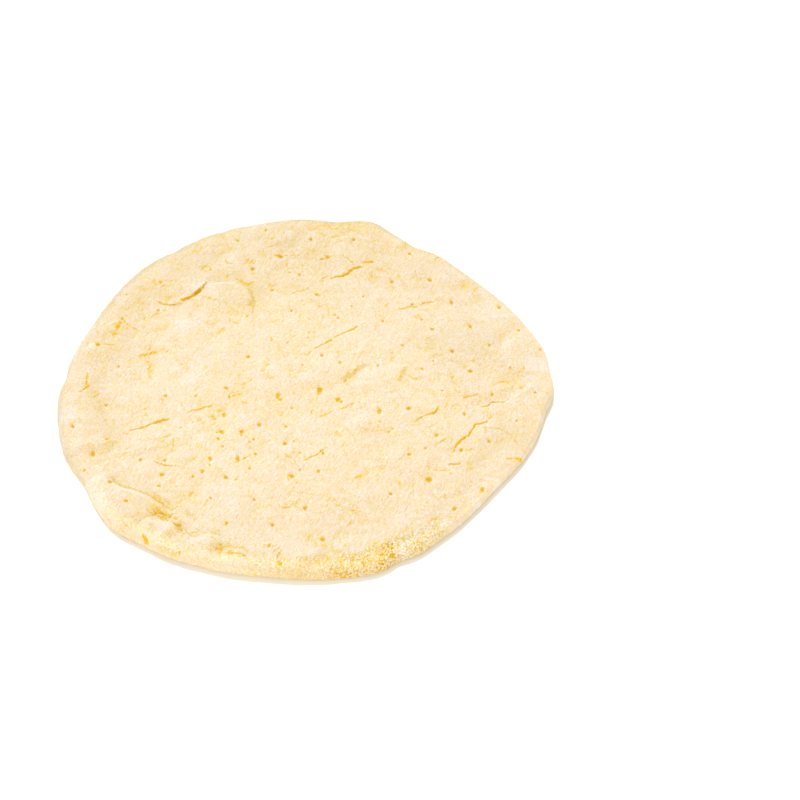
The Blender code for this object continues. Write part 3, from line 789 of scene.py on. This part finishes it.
# %% Crumb and painted shading, and all the marks together
COARSE_STRETCHES = ((292, 0.97, 10.5), (252, 0.12, 12), (228, 0.15, 14), (268, 0.15, 8))
COARSE_REACH = ((288, 0.6, 12),)
COARSE_INSET = 12.0
COARSE_FADE = 5.0
COARSE_YELLOW = 0.14
# Painted light on the front and right sides, painted shade on the left, by direction.
SIDE_LIGHT_AND_SHADE = (
    (255, 0.18, 26), (298, 0.12, 15), (5, 0.06, 14), (328, 0.18, 16), (222, 0.04, 18),
    (185, -0.09, 16),
)
# Painted shade on the far edge and its horizon line, painted light on the crest inside it.
FAR_EDGE_SHADE_DEPTHS = ((85, 0.14, 24), (140, 0.11, 22))
FAR_EDGE_PAINTED_SHADE = ((85, -0.175, 24), (140, -0.18, 22), (190, -0.05, 18), (38, -0.05, 14))
FAR_CREST_PAINTED_LIGHT = ((80, 0.05, 35),)
CREST_INSET = 5.5
CREST_WIDTH = 2.5
HORIZON_INSET = 1.2
FAR_DEPTH_REACH = 1.3
FAR_TONE_REACH = 3.2
HORIZON_LINE = 0.7
LINE_SHARE = 0.6
# Broad patches of painted light and shade, then darker towards the outside and painted shade at
# the back.
SHADES = (
    (88, 25, 26, -0.035), (55, 32, 16, -0.02), (-10, 112, 15, -0.03), (22, -85, 20, -0.005),
    (118, -20, 16, 0.02), (-70, -50, 70, 0.018),
)
OUTER_TONE, OUTER_STARTS = -0.026, 45.0
BACK_PAINTED_SHADE, BACK_SHADE_STARTS = -0.030, 35.0
TONE_SPREAD = 60.0


def crumb_coarseness(x, y, direction, inset):
    """How open the crumb is, from 0 to 1, and how much yellower that makes it."""
    reach = COARSE_INSET + swell_sum(COARSE_REACH, direction)
    coarse = swell_sum(COARSE_STRETCHES, direction)
    coarse = coarse * smooth_step((reach - inset) / COARSE_FADE)
    patchy = noise_at(x, y, 5.0, (0.9, 4.8, 3.3))
    return coarse * np.clip(0.9 + patchy, 0.2, 1.0), COARSE_YELLOW * coarse * patchy


def add_shades(x, y, warp_x, warp_y, painted_shading):
    for amount, away in spots_at(SHADES, warp_x, warp_y):
        painted_shading += amount * smooth_step(1.5 - 1.5 * away)
    # Darker towards the outside; painted shade towards the back.
    painted_shading += OUTER_TONE * smooth_step((np.hypot(x, y) - OUTER_STARTS) / TONE_SPREAD)
    painted_shading += BACK_PAINTED_SHADE * smooth_step((y - BACK_SHADE_STARTS) / TONE_SPREAD)


def dough_marks(x, y):
    """Height in mm, colour depth, coarseness and painted shading of the top at plan positions."""
    direction = np.degrees(np.arctan2(y, x))
    inset = np.maximum(edge_radius(direction) - np.hypot(x, y), 0.0)
    warp_x, warp_y, uneven = dough_noise(x, y)
    height, shoulder = grown_height(x, y, direction, inset, uneven)
    depth = grown_depth(y, direction, inset, shoulder, warp_x, warp_y, uneven)
    painted_shading = swell_sum(SIDE_LIGHT_AND_SHADE, direction) * smooth_step(1.4 * shoulder)

    add_folds(x, y, height, depth, painted_shading)
    add_bubbles(warp_x, warp_y, height, depth)
    add_cracks(x, y, height, depth)
    add_pits(x, y, height, depth)

    coarse, yellower = crumb_coarseness(x, y, direction, inset)
    depth += yellower
    # Painted shade along the far edge and painted light on its crest.
    horizon = np.maximum(inset - HORIZON_INSET, 0.0)
    depth += swell_sum(FAR_EDGE_SHADE_DEPTHS, direction) * bell(horizon, FAR_DEPTH_REACH)
    far_shade = np.exp(-((horizon / FAR_TONE_REACH) ** 3))
    far_shade += LINE_SHARE * bell(horizon, HORIZON_LINE)
    painted_shading += swell_sum(FAR_EDGE_PAINTED_SHADE, direction) * far_shade
    painted_shading += swell_sum(FAR_CREST_PAINTED_LIGHT, direction) * bell(inset - CREST_INSET, CREST_WIDTH)
    add_shades(x, y, warp_x, warp_y, painted_shading)
    return {
        "height": np.maximum(height, WIDEST_HEIGHT),
        "depth": np.clip(depth, 0.0, 1.0),
        "coarse": np.clip(coarse, 0.0, 1.0),
        "painted_shading": painted_shading,
        "field": 1.0 - smooth_step(1.6 * shoulder),
    }


at_middle = dough_marks(np.zeros(1), np.zeros(1))
print("marks at the middle:", {name: round(float(v[0]), 2) for name, v in at_middle.items()})

# %% [markdown]
# The top starts as a square grid, the one primitive whose cells are all alike. Each ring of
# cells round its middle becomes a ring of the round, so the cells stay even and the rows
# near the edge follow it. A disc primitive would crowd its points at the pole instead.

# %% A round sheet of even cells
CELLS = 194
EDGE_CROWDING = 1.1


def deselect_all():
    if bpy.context.object and bpy.context.object.mode != "OBJECT":
        bpy.ops.object.mode_set(mode="OBJECT")
    bpy.ops.object.select_all(action="DESELECT")


def read_vectors(items, name):
    """One vector for each item of a mesh, such as the place of each point."""
    vectors = np.empty(len(items) * 3)
    items.foreach_get(name, vectors)
    return vectors.reshape(-1, 3)


def write_points(mesh, points):
    mesh.vertices.foreach_set("co", points.ravel())
    mesh.update()


def round_sheet(points):
    """Moves the points of a square sheet, -1 to 1 each way, to a round one in mm."""
    u, v = points[:, 0], points[:, 1]
    wide = np.abs(u) > np.abs(v)
    ring = np.maximum(np.abs(u), np.abs(v))
    safe_u = np.where(u == 0, 1.0, u)
    safe_v = np.where(v == 0, 1.0, v)
    angle = np.where(wide, v / safe_u, 2.0 - u / safe_v) * math.pi / 4
    angle += np.where(wide & (u < 0) | ~wide & (v < 0), math.pi, 0.0)
    radius = edge_radius(np.degrees(angle)) * (1.0 - (1.0 - ring) ** EDGE_CROWDING)
    return np.column_stack((radius * np.cos(angle), radius * np.sin(angle), 0 * ring))


deselect_all()
bpy.ops.mesh.primitive_grid_add(x_subdivisions=CELLS, y_subdivisions=CELLS, size=2.0)
base = bpy.context.object
base.name = "pizza_base_crust"
base.data.name = "pizza_base_crust"
write_points(base.data, round_sheet(read_vectors(base.data.vertices, "co")))
print("sheet of", len(base.data.polygons), "cells")

# %% [markdown]
# Holes and cracks are finer than the cells of the sheet. Rather than make every cell small,
# only the cells beside them are subdivided, first in a wider band, with the steeper folds,
# and then in a narrow one. A band is how far it goes from a hole, a crack and a fold, in mm.

# %% Finer cells at the holes, cracks and folds
REFINE_BANDS = ((0.9, 1.4, 3.0), (0.3, 0.5, 0.0))
WIDEST_TEAR = 0.9
STEEP_FOLD = 2.3
LINE_BOX = 4.0


def near_marks(x, y, pit_margin, crack_reach, fold_reach):
    close = np.zeros(len(x), bool)
    for pit_x, pit_y, width, *_ in pits:
        close |= np.hypot(x - pit_x, y - pit_y) < width / 2 + pit_margin
    reaches = [min(width, WIDEST_TEAR) + crack_reach for width, *_ in CRACKS]
    reaches += [fold_reach * (soft < STEEP_FOLD) for _, soft, *_ in FOLDS]
    for reach, line in zip(reaches, crack_lines + fold_lines):
        near = inside_reach(x, y, line, LINE_BOX)
        away, _, _ = along_line(x[near], y[near], line)
        close[near] |= away < reach
    return close


def select_faces(obj, chosen):
    """Selects these faces of an object, and only these, with nothing else left selected."""
    bpy.ops.object.mode_set(mode="EDIT")
    bpy.ops.mesh.select_mode(type="FACE")
    bpy.ops.mesh.select_all(action="DESELECT")
    bpy.ops.object.mode_set(mode="OBJECT")
    obj.data.polygons.foreach_set("select", chosen)


for band in REFINE_BANDS:
    middles = read_vectors(base.data.polygons, "center")
    fine = near_marks(middles[:, 0], middles[:, 1], *band)
    select_faces(base, fine)
    bpy.ops.object.mode_set(mode="EDIT")
    bpy.ops.mesh.subdivide(number_cuts=1)
    bpy.ops.object.mode_set(mode="OBJECT")
    print("refined", int(fine.sum()), "cells, now", len(base.data.polygons))

# %% [markdown]
# Now every point of the sheet is lifted to the height of the dough there, and the sheet is
# moved to the middle of its outline. Once it has its relief, its normals say which way each
# slope faces. In the field the slopes that face the light at the back left get painted light,
# a paler colour, and those turned away to the front right get painted shade, a yellower one,
# so the colour depth is shifted by the slope, up to a most.

# %% Raise the sheet
points = read_vectors(base.data.vertices, "co")
marks = dough_marks(points[:, 0], points[:, 1])
points[:, 2] = marks["height"]
points -= (CENTRE_X, CENTRE_Y, 0.0)
write_points(base.data, points * MM)

# Painted light and shade: slopes facing this heading are painted paler, the others yellower.
PAINTED_LIGHT_HEADING = math.radians(132.0)
SLOPE_PAINTED_SHADE = 0.50
MOST_SLOPE = 0.45
normals = read_vectors(base.data.vertex_normals, "vector")
slope, _ = turned(normals[:, 0], normals[:, 1], PAINTED_LIGHT_HEADING)
marks["depth"] -= SLOPE_PAINTED_SHADE * marks["field"] * np.clip(slope, -MOST_SLOPE, MOST_SLOPE)
print("top from", round(points[:, 2].min(), 2), "to", round(points[:, 2].max(), 2), "mm")

# %% [markdown]
# Below its widest line the base turns in to a flat foot. The open edge of the sheet is
# extruded down and drawn in twice, then the last ring is filled, inset and poked, so that
# the underside is closed and flat, as it lay on the baker's tray.

# %% Close the underside
FOOT_RINGS = ((0.6, 0.9945), (0.9, 0.9850))
FOOT_INSET = 0.030

deselect_all()
base.select_set(True)
bpy.context.view_layer.objects.active = base
bpy.ops.object.mode_set(mode="EDIT")
bpy.ops.mesh.select_mode(type="EDGE")
bpy.ops.mesh.select_all(action="DESELECT")
bpy.ops.mesh.select_non_manifold()
for drop, draw_in in FOOT_RINGS:
    bpy.ops.mesh.extrude_region_move(
        TRANSFORM_OT_translate={"value": (0.0, 0.0, -drop * MM)}
    )
    bpy.ops.transform.resize(value=(draw_in, draw_in, 1.0), center_override=(0, 0, 0))
bpy.ops.mesh.edge_face_add()
bpy.ops.mesh.inset(thickness=FOOT_INSET)
bpy.ops.mesh.poke()
bpy.ops.mesh.select_all(action="SELECT")
bpy.ops.mesh.normals_make_consistent(inside=False)
bpy.ops.object.mode_set(mode="OBJECT")
base.data.shade_smooth()
triangles = sum(len(face.vertices) - 2 for face in base.data.polygons)
print("closed base of", len(base.data.polygons), "faces,", triangles, "triangles")

# %% [markdown]
# The marks are kept as attributes of the mesh, one number a point, so that the finish follows
# the relief exactly, which a painted picture would only do at one size. The points of the
# foot came after the sheet, so they get a plain value of their own, with swells round it.

# %% Keep the marks as attributes
# The foot gets painted light at the front and painted shade, darker and yellower, at the front
# right, where it meets the floor.
FOOT_MARKS = (
    ("depth", 0.45, ((303, 0.10, 12),)),
    ("coarse", 0.3, ()),
    ("painted_shading", 0.0, ((262, 0.12, 35), (303, -0.15, 12))),
)

foot = read_vectors(base.data.vertices, "co")[len(points):]
foot_direction = np.degrees(np.arctan2(foot[:, 1], foot[:, 0]))
for name, plain, swells in FOOT_MARKS:
    layer = base.data.attributes.new(name, "FLOAT", "POINT")
    values = np.concatenate((marks[name], plain + swell_sum(swells, foot_direction)))
    layer.data.foreach_set("value", values.astype(np.float32))
print("attributes:", [a.name for a in base.data.attributes if not a.is_internal])

# %% [markdown]
# The finish of the dough is built from small effects, each a node group with named sockets.
# Short helpers make the few kinds of node that the groups share, so that each group reads
# as a list of what it does.

# %% Helpers for nodes


def new_group(name, inputs, outputs):
    """An empty shader node group with these number sockets."""
    group = bpy.data.node_groups.new(name, "ShaderNodeTree")
    for socket, default in inputs:
        made = group.interface.new_socket(
            socket, in_out="INPUT", socket_type="NodeSocketFloat"
        )
        made.default_value = default
    for socket in outputs:
        group.interface.new_socket(
            socket, in_out="OUTPUT", socket_type="NodeSocketFloat"
        )
    enter = group.nodes.new("NodeGroupInput")
    leave = group.nodes.new("NodeGroupOutput")
    return group, enter, leave


def set_socket(tree, socket, value):
    if isinstance(value, (int, float, tuple)):
        socket.default_value = value
    elif value is not None:
        tree.links.new(value, socket)


def math_node(tree, operation, first, second=None, third=None):
    node = tree.nodes.new("ShaderNodeMath")
    node.operation = operation
    for socket, value in zip(node.inputs, (first, second, third)):
        set_socket(tree, socket, value)
    return node.outputs[0]


def ramp_node(tree, value, low, high, to_low, to_high):
    """A value eased from one range to another."""
    node = tree.nodes.new("ShaderNodeMapRange")
    node.interpolation_type = "SMOOTHSTEP"
    ends = {"From Min": low, "From Max": high, "To Min": to_low, "To Max": to_high}
    set_inputs(node, ends)
    tree.links.new(value, node.inputs["Value"])
    return node.outputs["Result"]


def noise_node(tree, size_mm, detail, roughness, turn=0.0, stretch=1.0):
    """Noise on Object coordinates, with features of a size in mm, drawn out along a heading."""
    place = tree.nodes.new("ShaderNodeTexCoord")
    node = tree.nodes.new("ShaderNodeTexNoise")
    scale = 1.0 / (size_mm * MM)
    set_inputs(node, {"Scale": scale, "Detail": detail, "Roughness": roughness})
    vector = place.outputs["Object"]
    if stretch != 1.0:
        mapping = tree.nodes.new("ShaderNodeMapping")
        mapping.vector_type = "TEXTURE"
        rotation = (0.0, 0.0, math.radians(turn))
        set_inputs(mapping, {"Rotation": rotation, "Scale": (stretch, 1.0, 1.0)})
        tree.links.new(vector, mapping.inputs["Vector"])
        vector = mapping.outputs["Vector"]
    tree.links.new(vector, node.inputs["Vector"])
    return node.outputs["Fac"]


def attribute_node(tree, name):
    node = tree.nodes.new("ShaderNodeAttribute")
    node.attribute_name = name
    return node.outputs["Fac"]


# %% [markdown]
# The fine skin of the dough has four grains, one over another: flour dust under a millimetre,
# a grain twice that size, short drag lines that the roller left, and, where the edge was never
# rolled smooth, a coarse crumb like wet sand. The group gives one relief in millimetres, which
# both bends the light and, being lower in its hollows, deepens the colour there as painted
# shade, and the crumb by itself. A grain is its size in mm, detail and roughness, and then its
# height in mm.

# %% Flour grain, drag lines and coarse crumb
DUST, DUST_HEIGHT = (0.7, 2.0, 0.7), 0.68
GRAIN, GRAIN_HEIGHT = (1.5, 3.0, 0.6), 0.27
DRAG, DRAG_HEIGHT = (0.65, 2.0, 0.6), 0.48
DRAG_HEADING = 66.0
DRAG_STRETCH = 5.0
COARSE_DRAG = 0.9
CRUMB_SIZE = 1.0
CRUMB_SOFTNESS = 0.25
CRUMB_LEVEL = 0.42
CRUMB_HEIGHT = 0.85


def skin_relief_group():
    group, enter, leave = new_group(
        "skin relief", (("Coarse", 0.0), ("Drag", 1.0)), ("Height", "Crumb")
    )
    dust = noise_node(group, *DUST)
    grain = noise_node(group, *GRAIN)
    drag = noise_node(group, *DRAG, turn=DRAG_HEADING, stretch=DRAG_STRETCH)
    dust, grain, drag = (math_node(group, "SUBTRACT", n, 0.5) for n in (dust, grain, drag))
    relief = math_node(group, "MULTIPLY", dust, DUST_HEIGHT)
    relief = math_node(group, "MULTIPLY_ADD", grain, GRAIN_HEIGHT, relief)
    drawn = enter.outputs["Drag"]
    drawn = math_node(group, "MULTIPLY_ADD", enter.outputs["Coarse"], COARSE_DRAG, drawn)
    drawn = math_node(group, "MULTIPLY", drag, drawn)
    relief = math_node(group, "MULTIPLY_ADD", drawn, DRAG_HEIGHT, relief)

    place = group.nodes.new("ShaderNodeTexCoord")
    grains = group.nodes.new("ShaderNodeTexVoronoi")
    grains.feature = "SMOOTH_F1"
    scale = 1.0 / (CRUMB_SIZE * MM)
    set_inputs(grains, {"Scale": scale, "Smoothness": CRUMB_SOFTNESS})
    group.links.new(place.outputs["Object"], grains.inputs["Vector"])
    crumb = math_node(group, "SUBTRACT", CRUMB_LEVEL, grains.outputs["Distance"])
    crumbled = math_node(group, "MULTIPLY", crumb, enter.outputs["Coarse"])
    relief = math_node(group, "MULTIPLY_ADD", crumbled, CRUMB_HEIGHT, relief)
    group.links.new(relief, leave.inputs["Height"])
    group.links.new(crumbled, leave.inputs["Crumb"])
    return group


skin_relief = skin_relief_group()
print("group:", skin_relief.name, "of", len(skin_relief.nodes), "nodes")

# %% [markdown]
# Fine bran shows as a few brown dots, each under a millimetre. A cell pattern gives every
# cell its own random number, so a dot is drawn only in the few cells that draw a low one.

# %% Bran specks
SPECK_SPACING = 4.5
SPECK_SIZES = (0.04, 0.10)


def bran_specks_group():
    group, enter, leave = new_group("bran specks", (("Share", 0.01),), ("Mask",))
    place = group.nodes.new("ShaderNodeTexCoord")
    cells = group.nodes.new("ShaderNodeTexVoronoi")
    set_inputs(cells, {"Scale": 1.0 / (SPECK_SPACING * MM)})
    group.links.new(place.outputs["Object"], cells.inputs["Vector"])
    chances = group.nodes.new("ShaderNodeSeparateColor")
    group.links.new(cells.outputs["Color"], chances.inputs[0])
    rare = math_node(group, "LESS_THAN", chances.outputs[0], enter.outputs["Share"])
    size = ramp_node(group, chances.outputs[1], 0.0, 1.0, *SPECK_SIZES)
    dot = math_node(group, "LESS_THAN", cells.outputs["Distance"], size)
    group.links.new(math_node(group, "MULTIPLY", rare, dot), leave.inputs["Mask"])
    return group


bran_specks = bran_specks_group()
print("group:", bran_specks.name, "of", len(bran_specks.nodes), "nodes")

# %% [markdown]
# Light goes some way into pale dough and comes out warmer the further it went. So one number,
# the depth, runs the whole colour: floury white at 0, cream in the open, yellow in hollows
# and amber at the bottom of a hole. Red hardly fades on that way, blue fades most.

# %% Crust material
DEPTH_COLOURS = (
    (0.00, (0.770, 0.708, 0.613)),
    (0.15, (0.766, 0.663, 0.532)),
    (0.35, (0.758, 0.612, 0.413)),
    (0.55, (0.741, 0.583, 0.275)),
    (0.78, (0.755, 0.532, 0.105)),
    (1.00, (0.775, 0.435, 0.010)),
)
BRAN = (0.16, 0.09, 0.04, 1.0)
BRAN_SHARE = 0.012
BLOTCHES = (5.0, 4.0, 0.7)
BLOTCH_DEPTH = 0.22
# Painted shade and light: hollows of the skin relief are deeper in colour, its bumps paler.
RELIEF_SHADE_DEPTH = -2.3
CRUMB_DEPTH = 0.5
# Painted light on the crumb's grains and painted shade in the gaps between them.
CRUMB_LIGHT_AND_SHADE = 0.60
BUMP_STRENGTH = 0.65
ROUGHNESS_BY_DEPTH = (0.1, 0.6, 0.95, 0.75)
SOFT_LIGHT = {
    "Specular IOR Level": 0.2,
    "Subsurface Weight": 0.8,
    "Subsurface Radius": (1.0, 0.75, 0.12),
    "Subsurface Scale": 2.0 * MM,
}


def crust_material():
    material = bpy.data.materials.new("par-baked crust")
    material.use_nodes = True
    tree = material.node_tree
    shader = tree.nodes["Principled BSDF"]
    skin = tree.nodes.new("ShaderNodeGroup")
    skin.node_tree = skin_relief
    tree.links.new(attribute_node(tree, "coarse"), skin.inputs["Coarse"])
    specks = tree.nodes.new("ShaderNodeGroup")
    specks.node_tree = bran_specks
    set_inputs(specks, {"Share": BRAN_SHARE})

    blotches = math_node(tree, "SUBTRACT", noise_node(tree, *BLOTCHES), 0.5)
    depth = attribute_node(tree, "depth")
    depth = math_node(tree, "MULTIPLY_ADD", blotches, BLOTCH_DEPTH, depth)
    depth = math_node(tree, "MULTIPLY_ADD", skin.outputs["Height"], RELIEF_SHADE_DEPTH, depth)
    depth = math_node(tree, "MULTIPLY_ADD", skin.outputs["Crumb"], CRUMB_DEPTH, depth)
    ramp = tree.nodes.new("ShaderNodeValToRGB")
    stops = ramp.color_ramp.elements
    while len(stops) < len(DEPTH_COLOURS):
        stops.new(0.5)
    for stop, (position, colour) in zip(stops, DEPTH_COLOURS):
        stop.position = position
        stop.color = (*colour, 1.0)
    tree.links.new(depth, ramp.inputs["Fac"])
    painted_shaded_colour = tree.nodes.new("ShaderNodeVectorMath")
    painted_shaded_colour.operation = "SCALE"
    tree.links.new(ramp.outputs["Color"], painted_shaded_colour.inputs[0])
    # Painted light and shade: the colour is scaled by the painted shading and by the crumb.
    painted_brightness = math_node(tree, "ADD", 1.0, attribute_node(tree, "painted_shading"))
    painted_brightness = math_node(tree, "MULTIPLY_ADD", skin.outputs["Crumb"], CRUMB_LIGHT_AND_SHADE, painted_brightness)
    tree.links.new(painted_brightness, painted_shaded_colour.inputs["Scale"])
    speckled = tree.nodes.new("ShaderNodeMix")
    speckled.data_type = "RGBA"
    for socket, value in zip(
        (speckled.inputs[0], speckled.inputs[6], speckled.inputs[7]),
        (specks.outputs["Mask"], painted_shaded_colour.outputs[0], BRAN),
    ):
        set_socket(tree, socket, value)
    tree.links.new(speckled.outputs[2], shader.inputs["Base Color"])

    bump = tree.nodes.new("ShaderNodeBump")
    set_inputs(bump, {"Distance": MM, "Strength": BUMP_STRENGTH})
    tree.links.new(skin.outputs["Height"], bump.inputs["Height"])
    tree.links.new(bump.outputs["Normal"], shader.inputs["Normal"])
    roughness = ramp_node(tree, depth, *ROUGHNESS_BY_DEPTH)
    tree.links.new(roughness, shader.inputs["Roughness"])
    set_inputs(shader, SOFT_LIGHT)
    return material


base.data.materials.clear()
base.data.materials.append(crust_material())
print("materials:", [m.name for m in base.data.materials])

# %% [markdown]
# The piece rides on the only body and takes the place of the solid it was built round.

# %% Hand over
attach(base, "root")
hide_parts("pizza_base")
